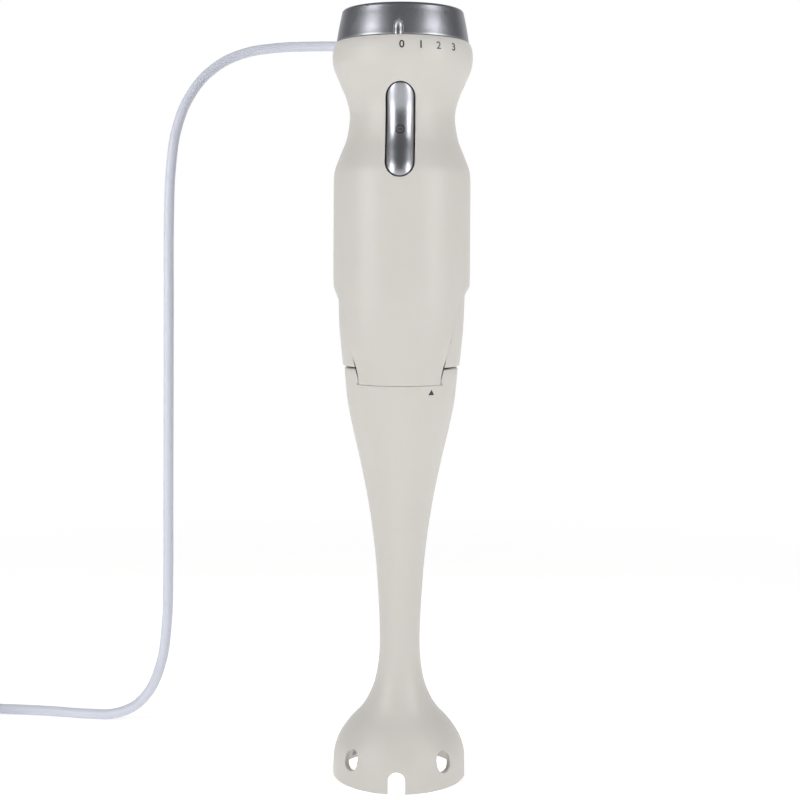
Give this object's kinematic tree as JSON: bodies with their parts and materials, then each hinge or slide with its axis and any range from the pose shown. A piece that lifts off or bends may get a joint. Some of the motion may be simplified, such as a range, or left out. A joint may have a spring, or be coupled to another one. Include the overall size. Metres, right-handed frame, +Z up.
{
  "type": "immersion blender",
  "caption": "Corded stick blender with a waisted handle, speed dial, start button, side release buttons and a detachable arm with a notched bell.",
  "frame": {"origin": "centre of the bell's rim, on the surface that the blender stands on", "axes": "+Z up along the drive axis from the bell to the dial, -Y towards the front with the start button, +X to the right seen from the front"},
  "size_m": [0.3442, 0.1408, 0.3844],
  "materials": {
    "housing_plastic": "satin ivory moulded plastic",
    "silver_lacquer": "satin silver-grey lacquer on plastic",
    "black_plastic": "matt black moulded plastic",
    "natural_plastic": "unpainted natural nylon",
    "blue_plastic": "glossy potentiometer case",
    "cord_pvc": "pale bluish grey PVC",
    "steel": "ground steel",
    "stainless": "polished stainless steel",
    "lamination_steel": "stacked lamination steel",
    "copper_wire": "enamelled copper wire",
    "brass": "turned brass",
    "bronze": "sintered bronze",
    "aluminium": "extruded aluminium",
    "carbon": "pressed carbon",
    "board_laminate": "green circuit laminate",
    "component_case": "dipped component case",
    "rubber": "soft black rubber",
    "seal_rubber": "red-brown silicone",
    "wire_insulation": "PVC wire insulation"
  },
  "bodies": {
    "handle": {"front_housing": "housing_plastic", "rear_housing": "housing_plastic", "housing_screws": "steel", "dial_seat": "black_plastic", "detent_spring": "steel", "speed_switch": "blue_plastic", "button_spring": "steel", "start_switch": "black_plastic", "circuit_board": "board_laminate", "board_components": "component_case", "heat_sink": "aluminium", "strain_relief": "cord_pvc", "cord_clamp": "natural_plastic", "cord_lead": "cord_pvc", "cord_coil": "cord_pvc", "cord_tie": "black_plastic", "cord_tail": "cord_pvc", "plug_body": "cord_pvc", "plug_pins": "brass", "motor_stator": "lamination_steel", "field_coils": "copper_wire", "motor_bottom_bracket": "natural_plastic", "motor_top_bracket": "natural_plastic", "motor_screws": "steel", "bottom_bearing": "steel", "top_bearing": "steel", "brush_holders": "brass", "carbon_brushes": "carbon", "brush_springs": "steel", "motor_mount_rings": "rubber", "lead_wires": "wire_insulation", "handle_base": "natural_plastic", "splash_seal": "rubber", "release_spring_left": "steel", "release_spring_right": "steel"},
    "dial": {"speed_dial": "silver_lacquer", "dial_spindle": "aluminium"},
    "start_button": {"power_button": "silver_lacquer"},
    "left_release": {"release_button_left": "housing_plastic"},
    "right_release": {"release_button_right": "housing_plastic"},
    "rotor": {"armature_core": "lamination_steel", "armature_windings": "copper_wire", "commutator": "copper_wire", "rotor_shaft": "steel", "cooling_fan": "black_plastic", "upper_coupling": "black_plastic"},
    "blending_arm": {"arm_housing": "housing_plastic", "locking_collar": "natural_plastic", "upper_bush": "bronze", "lower_bush": "bronze", "shaft_seal": "seal_rubber"},
    "blade_drive": {"lower_coupling": "black_plastic", "circlip": "steel", "drive_spindle": "steel", "blade_hub": "natural_plastic", "blade": "stainless", "blade_nut": "stainless"}
  },
  "joints": [
    {"name": "dial_turn", "type": "hinge", "parent": "handle", "child": "dial", "pos_m": [0, 0, 0.376], "axis": [0, 0, 1], "range_deg": [0, 49.5]},
    {"name": "start_press", "type": "slide", "parent": "handle", "child": "start_button", "axis": [0, 1, 0], "range_m": [0, 0.002], "stiffness_N_per_m": 1500, "springref_m": -0.001, "deforming": ["button_spring"]},
    {"name": "left_release_press", "type": "slide", "parent": "handle", "child": "left_release", "axis": [1, 0, 0], "range_m": [0, 0.002], "stiffness_N_per_m": 1500, "springref_m": -0.001, "deforming": ["release_spring_left"]},
    {"name": "right_release_press", "type": "slide", "parent": "handle", "child": "right_release", "axis": [-1, 0, 0], "range_m": [0, 0.002], "stiffness_N_per_m": 1500, "springref_m": -0.001, "deforming": ["release_spring_right"]},
    {"name": "rotor_spin", "type": "hinge", "parent": "handle", "child": "rotor", "pos_m": [0, 0, 0.27], "axis": [0, 0, 1], "continuous": true},
    {"name": "arm_pull_off", "type": "slide", "parent": "handle", "child": "blending_arm", "axis": [0, 0, -1], "range_m": [0, 0.03]},
    {"name": "blade_spin", "type": "hinge", "parent": "blending_arm", "child": "blade_drive", "pos_m": [0, 0, 0.1], "axis": [0, 0, 1], "continuous": true}
  ],
  "couplings": [
    {"joint": "blade_spin", "follows": "rotor_spin", "ratio": 1}
  ]
}
